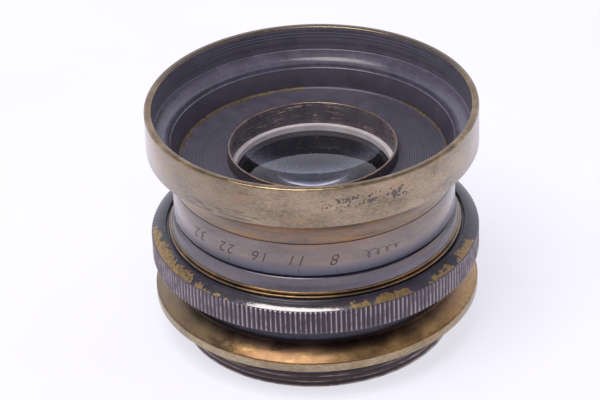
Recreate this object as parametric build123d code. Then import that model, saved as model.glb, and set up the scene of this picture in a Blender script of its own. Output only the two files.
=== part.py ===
"""Brass portrait lens: hood, doublet cells, iris with its control ring, and a flanged rear barrel.

Millimetres. The optical axis is Z, the rear end face stands on Z = 0 and the lens looks up.
"""
import os
from math import atan2, cos, degrees, radians, sin, sqrt

from build123d import *

# Fits
SEAT_GAP = 0.05  # radial clearance of every turned fit, fixed or running
AXIAL_GAP = 0.15  # end play of the control ring
CEMENT_GAP = 0.02  # cement film inside a doublet

# Rear barrel, with the camera flange and its thread
THREAD_RADIUS = 24.15
THREAD_LENGTH = 6.3
THREAD_PITCH = 25.4 / 24
THREAD_DEPTH = 0.6
THREAD_LEAD_IN = 0.5
THREAD_RELIEF = 0.5
THREAD_CREST_SHARE = 0.1  # of the pitch that stays uncut between two grooves
SEAT_UNDERCUT_DEPTH = 0.3
SEAT_UNDERCUT_WIDTH = 0.25  # beyond the thread's crests
FLANGE_RADIUS = 28.75
FLANGE_THICKNESS = 1.65
COVE_RADIUS = 25.4
COVE_HEIGHT = 2.15
REAR_WALL = 2.55  # under the thread's roots
REAR_SHOULDER = 0.5
REAR_SHOULDER_STEP = 1.4

# Iris housing
HOUSING_NECK_STEP = 0.4
HOUSING_NECK_HEIGHT = 2.4
HOUSING_SPIGOT_STEP = 1.6
HOUSING_SPIGOT_LENGTH = 3.1
HOUSING_SPIGOT_WALL = 1.8
BEARING_STEP = 0.2  # the bearing stands proud of the barrel
COLLAR_WALL = 1.4
DRIVE_LEDGE = 0.8
COLLAR_HEIGHT = 4.1
COLLAR_GROOVE_WIDTH = 0.5
COLLAR_GROOVE_DEPTH = 0.9
BEAD_RADIUS = 0.3
COLLAR_FLARE = 1.0
BEAD_BAND_HEIGHT = 1.6

# Ring that keeps the control ring on its bearing
RETAINER_RADIUS = 26.2
RETAINER_HEIGHT = 1.4

# Control ring
GRIP_RADIUS = 29.0
GRIP_HEIGHT = 4.65
CROWN_RADIUS = 26.4
CROWN_RISE = 0.9
CROWN_STEP = 0.5

# Barrel tube
BARREL_RADIUS = 24.8
BARREL_LENGTH = 6.25
BARREL_WALL = 3.4
FRONT_SPIGOT_STEP = 2.25
FRONT_SPIGOT_LENGTH = 1.4

# Hood
RIM_RADIUS = 29.0
RIM_HEIGHT = 7.5
RIM_WALL = 1.3
RIM_BORE_DEPTH = 4.7
LIP_ROUND = 0.35
NECK_HEIGHT = 5.9
SHELF_STEP = 1.0
SHELF_HEIGHT = 2.4
NECK_WALL = 1.1
BOARD_POCKET_HEIGHT = 2.0

# Front board
BOARD_THICKNESS = 1.5
BOARD_RIM_WIDTH = 0.25
BOARD_GROOVES = 7
BOARD_GROOVE_WIDTH = 0.3
BOARD_GROOVE_DEPTH = 0.12

# Lens cells and glass
CELL_RADIUS = 14.9
CELL_WALL = 0.45
CELL_STAND = 2.25
CELL_FLANGE_WIDTH = 2.0
CELL_FLANGE_THICKNESS = 1.4
GLASS_SEAT_WIDTH = 1.05
GLASS_SEAT_THICKNESS = 0.8
RETAINING_RING_WIDTH = 0.95
RETAINING_RING_HEIGHT = 1.0
FRONT_SEAT_BELOW_BOARD = 6.2
OUTER_CURVE = 55.0
CEMENT_CURVE = 60.0
INNER_CURVE = 120.0
CROWN_THICKNESS = 4.4
DOUBLET_THICKNESS = 6.4
REAR_TUBE_WALL = 0.95
REAR_WEB_THICKNESS = 2.0
REAR_SEAT_ABOVE_WEB = 2.1
REAR_TUBE_OVERHANG = 0.6

# Iris
BLADE_COUNT = 8
BLADE_THICKNESS = 0.1
BLADE_PITCH = 0.2
BLADE_SIDE_GAP = 0.15
BLADE_INNER_RADIUS = 12.5
BLADE_EDGE_TO_PIVOT = 1.8
BLADE_START = -3.0
BLADE_END = 118.0
BLADE_TRAVEL = 30.0
PIVOT_TO_WALL = 2.6
PIVOT_RADIUS = 0.5
PIVOT_TAB_WIDTH = 2.6
DRIVE_ARM = 3.4
DRIVE_PIN_RADIUS = 0.45
DRIVE_TAB_WIDTH = 1.9
RING_TRAVEL = 36.0
BASE_PLATE_THICKNESS = 1.0
BASE_PLATE_BORE = 13.0
DRIVE_RING_THICKNESS = 1.6
DRIVE_RING_BORE = 13.2
DRIVE_SCREW_RADIUS = 0.5
DRIVE_SCREW_ABOVE_RING_BASE = 2.75
DRIVE_SCREW_ANGLE = 90.0
DRIVE_SCREW_IN_GRIP = 2.5
DRIVE_SCREW_IN_DRIVE_RING = 1.15
DRIVE_SLOT_SPARE = 1.0  # degrees past each end of the travel
CAM_SLOT_GAP = 0.1
CUTTER_SPARE = 1.0  # how far a cutter reaches past a wall
PLATE_SCREW_COUNT = 3
PLATE_SCREW_RADIUS = 0.4
PLATE_SCREW_LENGTH = 2.2
PLATE_SCREW_ANGLE = 22.5

# Radii of what fits inside or outside what
REAR_BORE = THREAD_RADIUS - THREAD_DEPTH - REAR_WALL
BEARING_RADIUS = BARREL_RADIUS + BEARING_STEP
HOUSING_NECK_RADIUS = BEARING_RADIUS - HOUSING_NECK_STEP
HOUSING_SPIGOT_RADIUS = HOUSING_NECK_RADIUS - HOUSING_SPIGOT_STEP
HOUSING_SPIGOT_BORE = HOUSING_SPIGOT_RADIUS - HOUSING_SPIGOT_WALL
REAR_SHOULDER_BORE = HOUSING_SPIGOT_BORE - REAR_SHOULDER_STEP
DRIVE_BORE = BARREL_RADIUS - COLLAR_WALL
BLADE_BORE = DRIVE_BORE - DRIVE_LEDGE
BEAD_RING_RADIUS = BARREL_RADIUS + COLLAR_FLARE
BARREL_BORE = BARREL_RADIUS - BARREL_WALL
FRONT_SPIGOT_RADIUS = BARREL_RADIUS - FRONT_SPIGOT_STEP
RIM_BORE = RIM_RADIUS - RIM_WALL
BOARD_POCKET_RADIUS = BARREL_RADIUS - NECK_WALL
SHELF_BORE = BOARD_POCKET_RADIUS + SHELF_STEP
CELL_BORE = CELL_RADIUS - CELL_WALL
CELL_FLANGE_RADIUS = CELL_RADIUS + CELL_FLANGE_WIDTH
GLASS_SEAT_BORE = CELL_BORE - GLASS_SEAT_WIDTH
RETAINING_RING_BORE = CELL_BORE - RETAINING_RING_WIDTH
REAR_TUBE_RADIUS = CELL_BORE + REAR_TUBE_WALL
PIVOT_CIRCLE = BLADE_BORE - PIVOT_TO_WALL
BLADE_OUTER_RADIUS = PIVOT_CIRCLE - BLADE_EDGE_TO_PIVOT

# Heights of the seams between the turned pieces
FLANGE_SEAT = THREAD_LENGTH
FLANGE_FRONT = FLANGE_SEAT + FLANGE_THICKNESS
REAR_BARREL_TOP = FLANGE_FRONT + COVE_HEIGHT
RETAINER_BOTTOM = REAR_BARREL_TOP + HOUSING_NECK_HEIGHT
RETAINER_TOP = RETAINER_BOTTOM + RETAINER_HEIGHT
GRIP_BOTTOM = RETAINER_TOP + AXIAL_GAP
GRIP_TOP = GRIP_BOTTOM + GRIP_HEIGHT
CROWN_TOP = GRIP_TOP + CROWN_RISE
COLLAR_BOTTOM = CROWN_TOP - CROWN_STEP + AXIAL_GAP
HOUSING_TOP = COLLAR_BOTTOM + COLLAR_HEIGHT
BARREL_TOP = HOUSING_TOP + BARREL_LENGTH
BOARD_BOTTOM = BARREL_TOP + FRONT_SPIGOT_LENGTH
BOARD_TOP = BOARD_BOTTOM + BOARD_THICKNESS
RIM_BOTTOM = BARREL_TOP + NECK_HEIGHT
RIM_TOP = RIM_BOTTOM + RIM_HEIGHT
CELL_TOP = BOARD_TOP + CELL_STAND
FRONT_SEAT = BOARD_BOTTOM - FRONT_SEAT_BELOW_BOARD
HOUSING_SPIGOT_BOTTOM = REAR_BARREL_TOP - HOUSING_SPIGOT_LENGTH
REAR_WEB_TOP = HOUSING_SPIGOT_BOTTOM - REAR_SHOULDER
REAR_SEAT = REAR_WEB_TOP + REAR_SEAT_ABOVE_WEB

# Heights inside the iris, all hung from the drive screw
DRIVE_SCREW_Z = GRIP_BOTTOM + DRIVE_SCREW_ABOVE_RING_BASE
DRIVE_RING_BOTTOM = DRIVE_SCREW_Z - DRIVE_RING_THICKNESS / 2
DRIVE_RING_TOP = DRIVE_SCREW_Z + DRIVE_RING_THICKNESS / 2
BLADE_ROOM = 2 * BLADE_SIDE_GAP + BLADE_COUNT * BLADE_PITCH
PLATE_TOP = DRIVE_RING_BOTTOM - BLADE_ROOM
PLATE_BOTTOM = PLATE_TOP - BASE_PLATE_THICKNESS
BARREL_SPIGOT_BOTTOM = DRIVE_RING_TOP + AXIAL_GAP
BLADE_STEP = 360 / BLADE_COUNT


def turned(*edges):
    """Solid of revolution about the optical axis from a closed (radius, height) outline."""
    return revolve(Plane.XZ * make_face(Curve() + list(edges)), Axis.Z)


def turned_outline(*points):
    """Solid of revolution from the corners of a straight-sided outline."""
    return turned(Polyline(*points, close=True))


def ring(outer, inner, bottom, top):
    """Plain ring between two heights."""
    return turned_outline((inner, bottom), (outer, bottom), (outer, top), (inner, top))


def rod(radius, bottom, top, x=0.0, y=0.0):
    """Round rod along Z between two heights."""
    return Pos(x, y, bottom) * extrude(Circle(radius), top - bottom)


def radial_rod(radius, inner, outer, height, angle):
    """Round rod that lies along a radius of the lens."""
    along = Plane(origin=(inner, 0, height), z_dir=(1, 0, 0))
    return Rot(Z=angle) * (along * extrude(Circle(radius), outer - inner))


def sag(curve, radius):
    """Depth of a spherical surface at a radius from its vertex."""
    return curve - sqrt(curve**2 - radius**2)


def cove_edge(outer, inner, bottom, top, widest_at_top):
    """Quarter-round hollow between a wide radius and a narrow one."""
    wide_z, narrow_z = (top, bottom) if widest_at_top else (bottom, top)
    bend = 1 - cos(radians(45))
    middle = (inner + (outer - inner) * bend, wide_z + (narrow_z - wide_z) * bend)
    return ThreePointArc((outer, wide_z), middle, (inner, narrow_z))


# --- Hood and front board ---------------------------------------------------


def hood():
    """Rim, hollow neck and the rounded shelf inside, turned from one casting."""
    shelf_top = RIM_TOP - RIM_BORE_DEPTH
    shelf_bottom = shelf_top - SHELF_HEIGHT
    ledge_bore = FRONT_SPIGOT_RADIUS + SEAT_GAP
    bend = cos(radians(45))
    shelf_middle = (
        RIM_BORE - (RIM_BORE - SHELF_BORE) * bend,
        shelf_bottom + SHELF_HEIGHT * bend,
    )
    body = turned(
        Line((RIM_BORE, RIM_TOP), (RIM_RADIUS, RIM_TOP)),
        Line((RIM_RADIUS, RIM_TOP), (RIM_RADIUS, RIM_BOTTOM)),
        cove_edge(RIM_RADIUS, BARREL_RADIUS, BARREL_TOP, RIM_BOTTOM, True),
        Polyline(
            (BARREL_RADIUS, BARREL_TOP),
            (ledge_bore, BARREL_TOP),
            (ledge_bore, BOARD_BOTTOM),
            (BOARD_POCKET_RADIUS, BOARD_BOTTOM),
            (BOARD_POCKET_RADIUS, BOARD_BOTTOM + BOARD_POCKET_HEIGHT),
            (SHELF_BORE, shelf_bottom),
        ),
        ThreePointArc((SHELF_BORE, shelf_bottom), shelf_middle, (RIM_BORE, shelf_top)),
        Line((RIM_BORE, shelf_top), (RIM_BORE, RIM_TOP)),
    )
    return fillet(body.edges().group_by(Axis.Z)[-1], LIP_ROUND)


def front_board():
    """Plate across the hood that carries the front cell, faced with ring grooves."""
    outer = BOARD_POCKET_RADIUS - SEAT_GAP
    bore = CELL_RADIUS + SEAT_GAP
    board = ring(outer, bore, BOARD_BOTTOM, BOARD_TOP)
    step = (outer - BOARD_RIM_WIDTH - bore) / (BOARD_GROOVES + 1)
    for index in range(BOARD_GROOVES):
        middle = bore + step * (index + 1)
        half = BOARD_GROOVE_WIDTH / 2
        board -= ring(middle + half, middle - half, BOARD_TOP - BOARD_GROOVE_DEPTH, BOARD_TOP)
    return board


# --- Glass and cells --------------------------------------------------------


def crown_element(seat, way):
    """Biconvex crown element; way is +1 when it faces the front and -1 the rear."""
    radius = CELL_BORE - SEAT_GAP
    vertex = DOUBLET_THICKNESS
    back = vertex - CROWN_THICKNESS
    front_edge = vertex - sag(OUTER_CURVE, radius)
    back_edge = back + sag(CEMENT_CURVE, radius)
    half = radius / 2

    def at(r, height):
        return (r, seat + way * height)

    return turned(
        Line(at(0, back), at(0, vertex)),
        ThreePointArc(
            at(0, vertex), at(half, vertex - sag(OUTER_CURVE, half)), at(radius, front_edge)
        ),
        Line(at(radius, front_edge), at(radius, back_edge)),
        ThreePointArc(
            at(radius, back_edge), at(half, back + sag(CEMENT_CURVE, half)), at(0, back)
        ),
    )


def flint_element(seat, way):
    """Hollow flint element cemented behind the crown, with a flat edge on its seat."""
    radius = CELL_BORE - SEAT_GAP
    cement = DOUBLET_THICKNESS - CROWN_THICKNESS - CEMENT_GAP
    cement_edge = cement + sag(CEMENT_CURVE, radius)
    hollow = sag(INNER_CURVE, GLASS_SEAT_BORE)
    half = radius / 2
    half_seat = GLASS_SEAT_BORE / 2

    def at(r, height):
        return (r, seat + way * height)

    return turned(
        Line(at(0, hollow), at(0, cement)),
        ThreePointArc(
            at(0, cement), at(half, cement + sag(CEMENT_CURVE, half)), at(radius, cement_edge)
        ),
        Line(at(radius, cement_edge), at(radius, 0)),
        Line(at(radius, 0), at(GLASS_SEAT_BORE, 0)),
        ThreePointArc(
            at(GLASS_SEAT_BORE, 0), at(half_seat, hollow - sag(INNER_CURVE, half_seat)), at(0, hollow)
        ),
    )


def retaining_ring(seat, way):
    """Threaded ring that presses on the outer surface of a doublet."""
    near = seat + way * (DOUBLET_THICKNESS - sag(OUTER_CURVE, RETAINING_RING_BORE) + CEMENT_GAP)
    far = near + way * RETAINING_RING_HEIGHT
    return ring(CELL_BORE - CEMENT_GAP, RETAINING_RING_BORE, min(near, far), max(near, far))


def front_cell():
    """Thin tube that holds the front doublet and stands proud of the board."""
    tube = ring(CELL_RADIUS, CELL_BORE, FRONT_SEAT, CELL_TOP)
    seat = ring(CELL_RADIUS, GLASS_SEAT_BORE, FRONT_SEAT - GLASS_SEAT_THICKNESS, FRONT_SEAT)
    shoulder = ring(
        CELL_FLANGE_RADIUS, CELL_BORE, BOARD_BOTTOM - CELL_FLANGE_THICKNESS, BOARD_BOTTOM
    )
    return tube + seat + shoulder


def rear_cell():
    """Webbed tube that holds the rear doublet inside the rear barrel."""
    bottom = REAR_SEAT - DOUBLET_THICKNESS - REAR_TUBE_OVERHANG
    tube = ring(REAR_TUBE_RADIUS, CELL_BORE, bottom, REAR_SEAT)
    seat = ring(REAR_TUBE_RADIUS, GLASS_SEAT_BORE, REAR_SEAT, REAR_SEAT + GLASS_SEAT_THICKNESS)
    web = ring(REAR_BORE - SEAT_GAP, CELL_BORE, REAR_WEB_TOP - REAR_WEB_THICKNESS, REAR_WEB_TOP)
    return tube + seat + web


# --- Barrel, housing and rear barrel ----------------------------------------


def barrel_tube():
    """Engraved tube between the hood and the iris housing, spigoted at both ends."""
    spigot = DRIVE_BORE - SEAT_GAP
    return turned_outline(
        (BARREL_BORE, BARREL_SPIGOT_BOTTOM),
        (spigot, BARREL_SPIGOT_BOTTOM),
        (spigot, HOUSING_TOP),
        (BARREL_RADIUS, HOUSING_TOP),
        (BARREL_RADIUS, BARREL_TOP),
        (FRONT_SPIGOT_RADIUS, BARREL_TOP),
        (FRONT_SPIGOT_RADIUS, BOARD_BOTTOM),
        (BARREL_BORE, BOARD_BOTTOM),
    )


def drive_screw_slot():
    """Slot through the housing wall that lets the drive screw swing with the ring."""
    height = 2 * (DRIVE_SCREW_RADIUS + SEAT_GAP)
    half = RING_TRAVEL / 2 + DRIVE_SLOT_SPARE
    reach = 2 * BEARING_RADIUS
    wedge = make_face(
        Polyline(
            (0, 0),
            (reach * cos(radians(half)), -reach * sin(radians(half))),
            (reach, 0),
            (reach * cos(radians(half)), reach * sin(radians(half))),
            close=True,
        )
    )
    middle = DRIVE_SCREW_ANGLE + RING_TRAVEL / 2
    sweep_box = Pos(0, 0, DRIVE_SCREW_Z - height / 2) * extrude(wedge, height)
    outer = BEARING_RADIUS + CUTTER_SPARE
    inner = DRIVE_BORE - CUTTER_SPARE
    wall = ring(outer, inner, DRIVE_SCREW_Z - height, DRIVE_SCREW_Z + height)
    ends = [
        radial_rod(height / 2, inner, outer, DRIVE_SCREW_Z, angle)
        for angle in (middle - half, middle + half)
    ]
    return (Rot(Z=middle) * sweep_box & wall) + ends


def iris_housing():
    """Wall around the iris, with the ring's bearing outside and the beaded collar on top."""
    groove_radius = BARREL_RADIUS - COLLAR_GROOVE_DEPTH
    groove_bottom = HOUSING_TOP - COLLAR_GROOVE_WIDTH
    band_top = COLLAR_BOTTOM + BEAD_BAND_HEIGHT
    body = turned_outline(
        (HOUSING_SPIGOT_BORE, HOUSING_SPIGOT_BOTTOM),
        (HOUSING_SPIGOT_RADIUS, HOUSING_SPIGOT_BOTTOM),
        (HOUSING_SPIGOT_RADIUS, REAR_BARREL_TOP),
        (HOUSING_NECK_RADIUS, REAR_BARREL_TOP),
        (HOUSING_NECK_RADIUS, RETAINER_TOP),
        (BEARING_RADIUS, RETAINER_TOP),
        (BEARING_RADIUS, COLLAR_BOTTOM),
        (BEAD_RING_RADIUS, COLLAR_BOTTOM),
        (BARREL_RADIUS, band_top),
        (BARREL_RADIUS, groove_bottom),
        (groove_radius, groove_bottom),
        (groove_radius, HOUSING_TOP),
        (DRIVE_BORE, HOUSING_TOP),
        (DRIVE_BORE, DRIVE_RING_BOTTOM - AXIAL_GAP),
        (BLADE_BORE, DRIVE_RING_BOTTOM - AXIAL_GAP),
        (BLADE_BORE, PLATE_BOTTOM),
        (HOUSING_SPIGOT_BORE, PLATE_BOTTOM),
    )
    slope = (BEAD_RING_RADIUS - BARREL_RADIUS) / BEAD_BAND_HEIGHT
    for rise in (BEAD_RADIUS, 3 * BEAD_RADIUS):
        middle = BEAD_RING_RADIUS - slope * rise
        body += Pos(0, 0, COLLAR_BOTTOM + rise) * Torus(middle, BEAD_RADIUS)
    return body - drive_screw_slot() - plate_screws()


def rear_barrel():
    """Threaded rear tube with the camera flange and its hollow shoulder."""
    spigot_bore = HOUSING_SPIGOT_RADIUS + SEAT_GAP
    root_radius = THREAD_RADIUS - THREAD_DEPTH
    seat_bore = THREAD_RADIUS + SEAT_UNDERCUT_WIDTH
    body = turned(
        Polyline(
            (REAR_BORE, 0),
            (THREAD_RADIUS, 0),
            (THREAD_RADIUS, FLANGE_SEAT - THREAD_RELIEF),
            (root_radius, FLANGE_SEAT - THREAD_RELIEF),
            (root_radius, FLANGE_SEAT + SEAT_UNDERCUT_DEPTH),
            (seat_bore, FLANGE_SEAT + SEAT_UNDERCUT_DEPTH),
            (seat_bore, FLANGE_SEAT),
            (FLANGE_RADIUS, FLANGE_SEAT),
            (FLANGE_RADIUS, FLANGE_FRONT),
        ),
        cove_edge(FLANGE_RADIUS, COVE_RADIUS, FLANGE_FRONT, REAR_BARREL_TOP, False),
        Polyline(
            (COVE_RADIUS, REAR_BARREL_TOP),
            (spigot_bore, REAR_BARREL_TOP),
            (spigot_bore, HOUSING_SPIGOT_BOTTOM),
            (REAR_SHOULDER_BORE, HOUSING_SPIGOT_BOTTOM),
            (REAR_SHOULDER_BORE, REAR_WEB_TOP),
            (REAR_BORE, REAR_WEB_TOP),
            (REAR_BORE, 0),
        ),
    )
    half = THREAD_PITCH * (1 - THREAD_CREST_SHARE) / 2
    grooves = int((THREAD_LENGTH - THREAD_LEAD_IN - THREAD_RELIEF) / THREAD_PITCH)
    for index in range(grooves):
        middle = THREAD_LEAD_IN + THREAD_PITCH * (index + 0.5)
        body -= turned_outline(
            (root_radius, middle),
            (THREAD_RADIUS, middle - half),
            (THREAD_RADIUS + half, middle - half),
            (THREAD_RADIUS + half, middle + half),
            (THREAD_RADIUS, middle + half),
        )
    return body


def ring_retainer():
    """Black ring screwed under the control ring."""
    return ring(RETAINER_RADIUS, HOUSING_NECK_RADIUS + SEAT_GAP, RETAINER_BOTTOM, RETAINER_TOP)


# --- Iris -------------------------------------------------------------------


def polar(radius, angle):
    """Point on a circle about the optical axis, from degrees."""
    return Vector(radius * cos(radians(angle)), radius * sin(radians(angle)), 0)


def drive_pin_at(turn):
    """Place of the first blade's drive pin when the blade has turned by some degrees."""
    return polar(PIVOT_CIRCLE, 0) + polar(DRIVE_ARM, -90 - BLADE_TRAVEL / 2 + turn)


def blade_bottom(index):
    """Height of the underside of one blade; each blade has its own level."""
    return PLATE_TOP + BLADE_SIDE_GAP + BLADE_PITCH * (index + 0.5) - BLADE_THICKNESS / 2


def capsule(start, end, width):
    """Flat bar with round ends between two centres."""
    span = end - start
    turn = degrees(atan2(span.Y, span.X))
    return Pos((start + end) * 0.5) * Rot(Z=turn) * SlotCenterToCenter(span.length, width)


def iris_blade(index):
    """Crescent leaf with a pivot pin below it and a drive pin above it."""
    crescent = make_face(
        Curve()
        + [
            CenterArc((0, 0), BLADE_OUTER_RADIUS, BLADE_START, BLADE_END - BLADE_START),
            CenterArc((0, 0), BLADE_INNER_RADIUS, BLADE_START, BLADE_END - BLADE_START),
            Line(polar(BLADE_OUTER_RADIUS, BLADE_START), polar(BLADE_INNER_RADIUS, BLADE_START)),
            Line(polar(BLADE_OUTER_RADIUS, BLADE_END), polar(BLADE_INNER_RADIUS, BLADE_END)),
        ]
    )
    pivot = polar(PIVOT_CIRCLE, 0)
    drive = drive_pin_at(0)
    root = capsule(polar(BLADE_OUTER_RADIUS - PIVOT_TAB_WIDTH / 2, 0), pivot, PIVOT_TAB_WIDTH)
    arm = capsule(pivot, drive, DRIVE_TAB_WIDTH)
    bottom = blade_bottom(index)
    leaf = Pos(0, 0, bottom) * extrude(crescent + root + arm, BLADE_THICKNESS)
    leaf += rod(PIVOT_RADIUS, PLATE_BOTTOM, bottom, pivot.X, pivot.Y)
    leaf += rod(DRIVE_PIN_RADIUS, bottom, DRIVE_RING_TOP, drive.X, drive.Y)
    return Rot(Z=BLADE_STEP * index) * leaf


def iris_base_plate():
    """Fixed plate with a pivot hole for every blade."""
    plate = ring(BLADE_BORE - SEAT_GAP, BASE_PLATE_BORE, PLATE_BOTTOM, PLATE_TOP)
    for index in range(BLADE_COUNT):
        hole = rod(PIVOT_RADIUS + SEAT_GAP, PLATE_BOTTOM, PLATE_TOP, PIVOT_CIRCLE)
        plate -= Rot(Z=BLADE_STEP * index) * hole
    return plate - plate_screws()


def plate_screws():
    """Headless screws, flush with the base plate, that hold it on the housing ledge."""
    circle = (HOUSING_SPIGOT_BORE + BLADE_BORE) / 2
    screw = rod(PLATE_SCREW_RADIUS, PLATE_TOP - PLATE_SCREW_LENGTH, PLATE_TOP, circle)
    step = 360 / PLATE_SCREW_COUNT
    return [Rot(Z=PLATE_SCREW_ANGLE + step * index) * screw for index in range(PLATE_SCREW_COUNT)]


def drive_slot():
    """Cam slot of the first blade: the path of its drive pin as the drive ring sees it."""
    turns = (0, BLADE_TRAVEL / 2, BLADE_TRAVEL)
    path = [drive_pin_at(turn).rotate(Axis.Z, -turn * RING_TRAVEL / BLADE_TRAVEL) for turn in turns]
    width = 2 * (DRIVE_PIN_RADIUS + CAM_SLOT_GAP)
    return Pos(0, 0, DRIVE_RING_BOTTOM) * extrude(
        SlotArc(ThreePointArc(*path), width), DRIVE_RING_THICKNESS
    )


def iris_drive_ring():
    """Turning plate whose cam slots swing the blades."""
    plate = ring(DRIVE_BORE - SEAT_GAP, DRIVE_RING_BORE, DRIVE_RING_BOTTOM, DRIVE_RING_TOP)
    slot = drive_slot()
    for index in range(BLADE_COUNT):
        plate -= Rot(Z=BLADE_STEP * index) * slot
    return plate - iris_drive_screw()


def iris_drive_screw():
    """Headless screw that ties the drive ring to the control ring."""
    inner = DRIVE_BORE - SEAT_GAP - DRIVE_SCREW_IN_DRIVE_RING
    outer = BEARING_RADIUS + SEAT_GAP + DRIVE_SCREW_IN_GRIP
    return radial_rod(DRIVE_SCREW_RADIUS, inner, outer, DRIVE_SCREW_Z, DRIVE_SCREW_ANGLE)


def iris_control_ring():
    """Grip ring that turns on the housing, with a sloping front face."""
    bore = BEARING_RADIUS + SEAT_GAP
    body = turned_outline(
        (bore, GRIP_BOTTOM),
        (GRIP_RADIUS, GRIP_BOTTOM),
        (GRIP_RADIUS, GRIP_TOP),
        (CROWN_RADIUS, CROWN_TOP),
        (CROWN_RADIUS, CROWN_TOP - CROWN_STEP),
        (bore, CROWN_TOP - CROWN_STEP),
    )
    return body - iris_drive_screw()


def build():
    """Every node of the lens by name."""
    nodes = {
        "hood": hood(),
        "front_board": front_board(),
        "front_cell": front_cell(),
        "front_retaining_ring": retaining_ring(FRONT_SEAT, 1),
        "front_crown_element": crown_element(FRONT_SEAT, 1),
        "front_flint_element": flint_element(FRONT_SEAT, 1),
        "barrel_tube": barrel_tube(),
        "iris_housing": iris_housing(),
        "iris_control_ring": iris_control_ring(),
        "control_ring_retainer": ring_retainer(),
        "iris_drive_screw": iris_drive_screw(),
        "iris_drive_ring": iris_drive_ring(),
        "iris_base_plate": iris_base_plate(),
        "base_plate_screws": Compound(plate_screws()),
        "rear_barrel": rear_barrel(),
        "rear_cell": rear_cell(),
        "rear_retaining_ring": retaining_ring(REAR_SEAT, -1),
        "rear_crown_element": crown_element(REAR_SEAT, -1),
        "rear_flint_element": flint_element(REAR_SEAT, -1),
    }
    for index in range(BLADE_COUNT):
        nodes[f"iris_blade_{index + 1}"] = iris_blade(index)
    return nodes


os.makedirs("parts", exist_ok=True)
for name, solid in build().items():
    export_step(solid, f"parts/{name}.step")
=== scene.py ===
"""Looks of a brass portrait lens: turned brass, worn black lacquer, knurling, engraving and glass."""

import logging
import math
from collections.abc import Callable, Sequence
from dataclasses import dataclass
from enum import Enum

import bpy
import numpy as np
from mathutils import Euler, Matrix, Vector


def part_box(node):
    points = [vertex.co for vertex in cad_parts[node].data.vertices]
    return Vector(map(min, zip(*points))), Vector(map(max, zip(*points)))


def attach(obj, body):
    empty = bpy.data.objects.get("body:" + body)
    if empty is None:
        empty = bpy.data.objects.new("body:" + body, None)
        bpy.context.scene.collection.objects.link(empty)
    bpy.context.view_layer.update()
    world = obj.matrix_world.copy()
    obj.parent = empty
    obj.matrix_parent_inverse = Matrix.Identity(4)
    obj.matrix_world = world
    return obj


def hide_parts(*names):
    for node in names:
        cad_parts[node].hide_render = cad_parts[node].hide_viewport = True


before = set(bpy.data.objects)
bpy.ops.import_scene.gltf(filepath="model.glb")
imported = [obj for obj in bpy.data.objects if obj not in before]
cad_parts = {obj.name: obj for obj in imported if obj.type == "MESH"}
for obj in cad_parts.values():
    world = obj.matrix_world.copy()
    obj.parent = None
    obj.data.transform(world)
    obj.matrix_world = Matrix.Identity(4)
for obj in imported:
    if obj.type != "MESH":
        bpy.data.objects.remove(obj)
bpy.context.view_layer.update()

LOG = logging.getLogger("portrait_lens")
MM = 0.001
SEGMENTS = 320  # round a turned piece, fine enough that its outline shows no corners
CREASE = math.radians(38)  # edges sharper than this stay sharp
SMOOTH = {"interpolation_type": "SMOOTHSTEP"}  # how every Map Range here eases in and out

Point = tuple[float, float]
Colour = tuple[float, float, float, float]
Tree = bpy.types.NodeTree
Socket = bpy.types.NodeSocket
Material = bpy.types.Material
Piece = bpy.types.Object
Value = Socket | float
Inputs = Sequence[object] | dict[int | str, object]


# --- Shader tools -----------------------------------------------------------


def linear(colour: str) -> Colour:
    """Turns an sRGB hex colour linear.

    Args:
        colour: Six hex digits after a hash.

    Returns:
        Linear red, green, blue and an alpha of one.
    """
    parts = [int(colour[i : i + 2], 16) / 255 for i in (1, 3, 5)]
    low = [c / 12.92 if c <= 0.04045 else ((c + 0.055) / 1.055) ** 2.4 for c in parts]
    return (low[0], low[1], low[2], 1.0)


def add(tree: Tree, kind: str, inputs: Inputs = (), output: int | str = 0,
        stops: Sequence[tuple[float, str]] = (), **settings: object) -> Socket:
    """Adds a node with its settings and links.

    Args:
        tree: The node tree.
        kind: The node's type name.
        inputs: Numbers, sockets and hex colours, in the node's own order or by input name or number.
        output: Name or number of the output that is wanted.
        stops: Places and hex colours of a colour ramp.
        **settings: Properties of the node.

    Returns:
        The output.
    """
    node = tree.nodes.new(kind)
    for key, value in settings.items():
        setattr(node, key, value)
    for key, value in (inputs if isinstance(inputs, dict) else dict(enumerate(inputs))).items():
        if isinstance(value, Socket):
            tree.links.new(value, node.inputs[key])
        else:
            node.inputs[key].default_value = linear(value) if isinstance(value, str) else value
    if stops:
        elements = node.color_ramp.elements
        while len(elements) < len(stops):
            elements.new(0.5)
        for element, (place, colour) in zip(elements, stops):
            element.position = place
            element.color = linear(colour)
    return node.outputs[output]


class Way(Enum):
    """Which way lathe lines are spaced on a turned face."""

    UP = "up"
    OUT = "out"


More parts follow.
